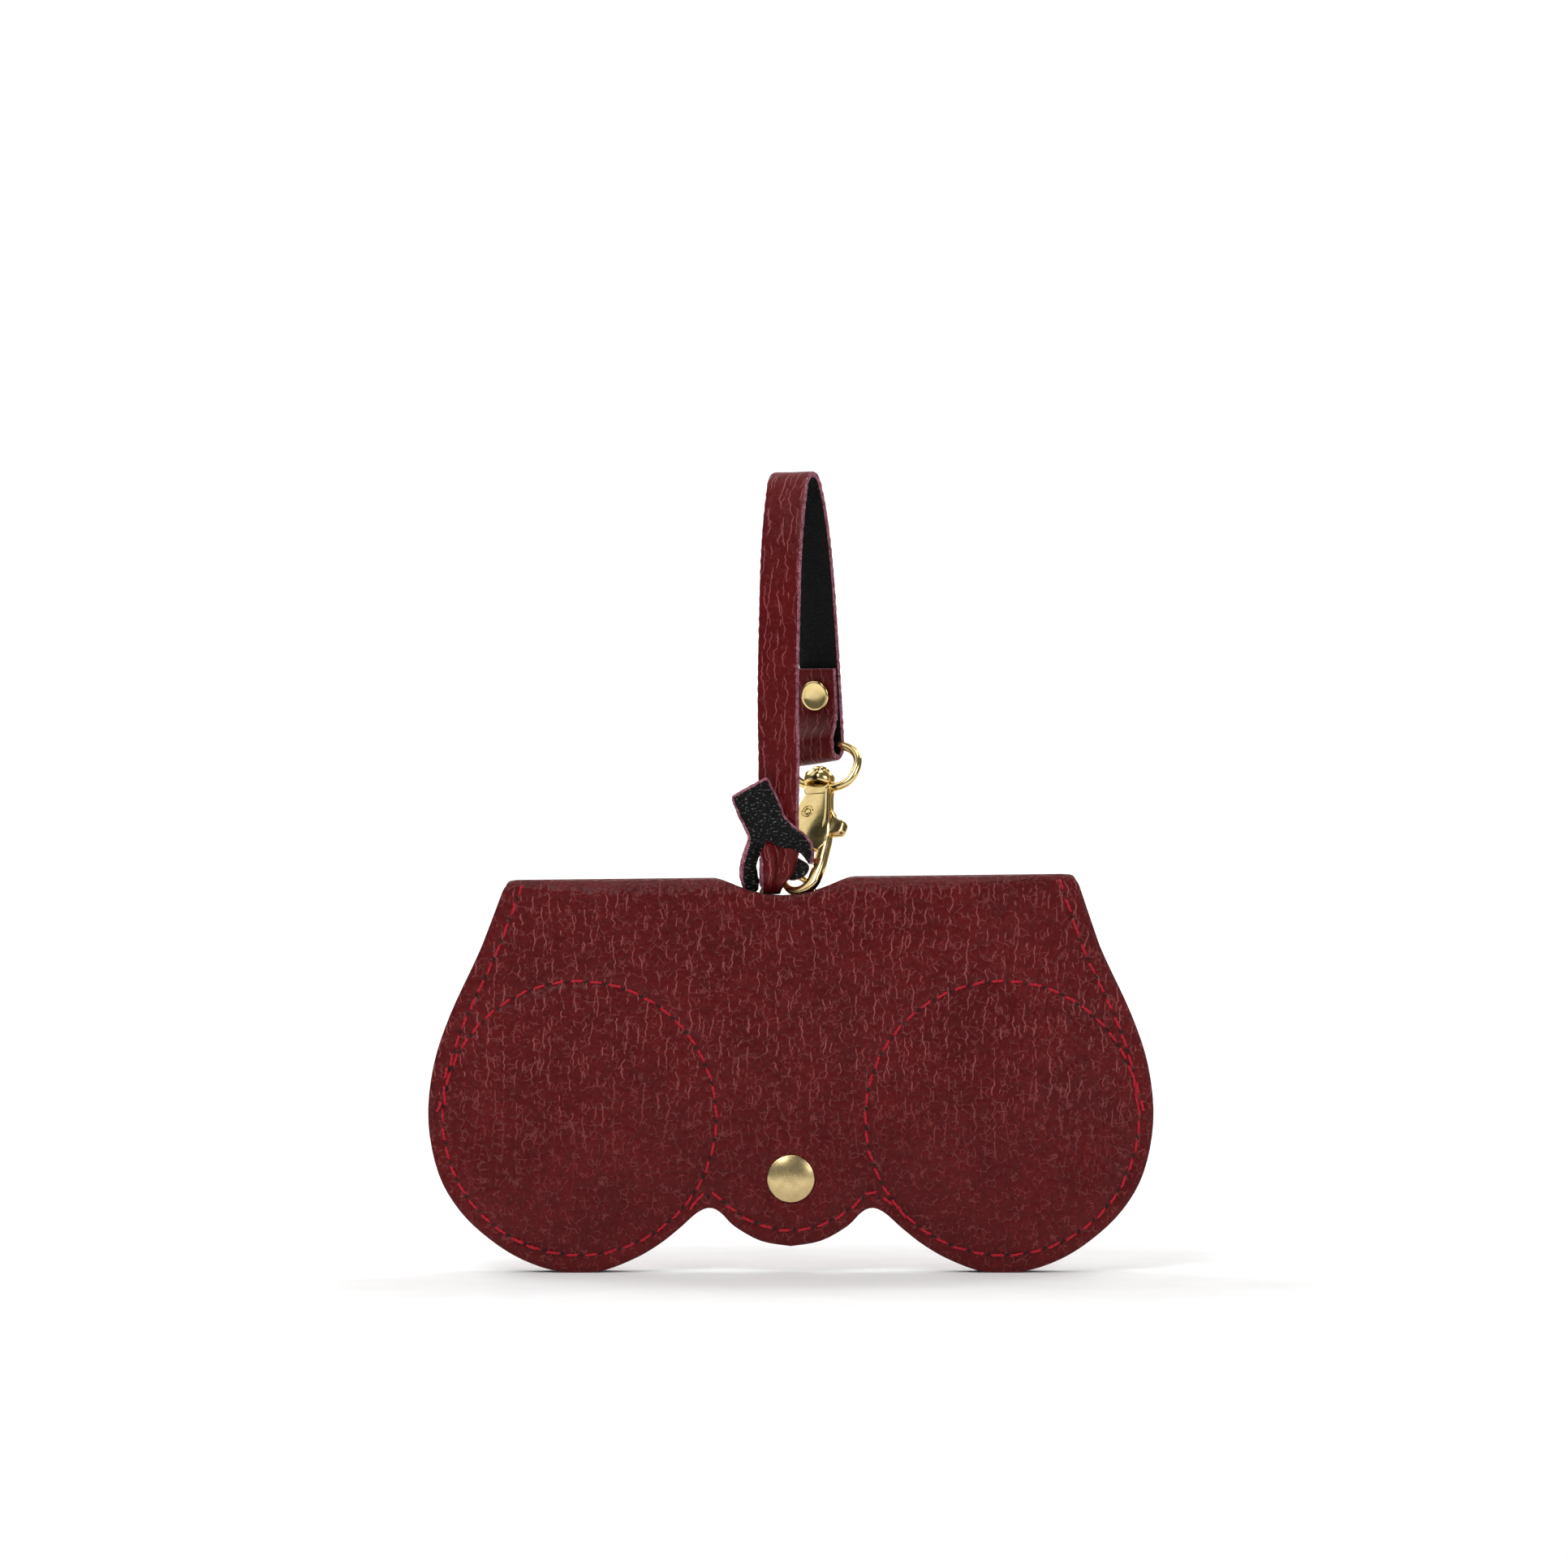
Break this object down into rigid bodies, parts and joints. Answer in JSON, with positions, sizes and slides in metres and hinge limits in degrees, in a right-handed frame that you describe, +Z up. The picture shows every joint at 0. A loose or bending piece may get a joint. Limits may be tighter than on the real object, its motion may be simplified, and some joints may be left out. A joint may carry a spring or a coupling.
{
  "type": "soft glasses pouch",
  "caption": "Soft leather glasses pouch in the outline of sunglasses, with a snap at the nose, stitched seams and a wrist strap with a trigger clasp on a D-ring.",
  "frame": {"origin": "the inside of the strap's top bend, where a finger or hook carries the case, over the pouch's middle", "axes": "+Z up from the lens lobes to the strap, -Y out of the front that has the snap's cap, +X to the right of someone who looks at the front"},
  "size_m": [0.1696, 0.0285, 0.1874],
  "materials": {
    "leather": "pebbled, satin",
    "strap": "pebbled, satin, raw cut edges",
    "lining": "matt black",
    "red_thread": "twisted thread",
    "black_thread": "twisted thread",
    "snap_brass": "satin",
    "clasp_brass": "polished",
    "spring_steel": "drawn wire"
  },
  "bodies": {
    "strap": {"strap_front": "strap", "strap_hitch": "strap"},
    "strap_tail": {"strap_back": "strap", "strap_end": "strap", "strap_rivet": "snap_brass", "strap_rivet_post": "snap_brass"},
    "swivel_ring": {"clasp_ring": "clasp_brass"},
    "hook": {"swivel_pin": "clasp_brass", "hook_body": "clasp_brass", "lever_pin": "clasp_brass", "lever_spring": "spring_steel"},
    "lever": {"clasp_lever": "clasp_brass"},
    "ring": {"d_ring": "clasp_brass"},
    "pouch": {"back_leather": "leather", "fold_leather": "leather", "front_leather": "leather", "back_lining": "lining", "fold_lining": "lining", "front_lining": "lining", "side_seams": "leather", "side_stitches": "red_thread", "lens_stitches": "red_thread", "back_stitches": "black_thread", "snap_stud": "snap_brass", "snap_post": "snap_brass", "ring_tab": "leather", "tab_rivet": "snap_brass", "tab_rivet_post": "snap_brass"},
    "lip": {"lip_leather": "leather", "lip_lining": "lining", "lip_lens_stitches": "red_thread", "nose_stitches": "red_thread", "snap_cap": "snap_brass", "snap_socket": "snap_brass"}
  },
  "joints": [
    {"name": "strap_opens", "type": "hinge", "parent": "strap", "child": "strap_tail", "pos_m": [0.0008, 0, 0.0014], "axis": [0.8829, -0.4695, 0], "range_deg": [0, 60], "stiffness_Nm_per_rad": 0.05},
    {"name": "ring_turns", "type": "hinge", "parent": "strap", "child": "ring", "pos_m": [-0.0025, -0.00503, -0.0932], "axis": [1, 0, 0], "range_deg": [-4, 4]},
    {"name": "pouch_swings", "type": "hinge", "parent": "ring", "child": "pouch", "pos_m": [-0.0006, -0.00503, -0.101], "axis": [1, 0, 0], "range_deg": [-4, 4]},
    {"name": "lip_opens", "type": "hinge", "parent": "pouch", "child": "lip", "pos_m": [0, -0.01, -0.1475], "axis": [-1, 0, 0], "range_deg": [0, 50], "stiffness_Nm_per_rad": 0.03},
    {"name": "swivel_ring_tilts", "type": "hinge", "parent": "strap_tail", "child": "swivel_ring", "pos_m": [0.00833, 0.01095, -0.0626], "axis": [0.8962, -0.4395, 0.0606], "range_deg": [0, 90]},
    {"name": "hook_swivels", "type": "hinge", "parent": "swivel_ring", "child": "hook", "pos_m": [0.00833, 0.01095, -0.0626], "axis": [0.1612, 0.45, 0.8784], "range_deg": [-25, 0]},
    {"name": "lever_opens", "type": "hinge", "parent": "hook", "child": "lever", "pos_m": [0.00451, 0.00293, -0.07908], "axis": [-0.4133, -0.7774, 0.4741], "range_deg": [0, 20], "stiffness_Nm_per_rad": 0.004}
  ]
}
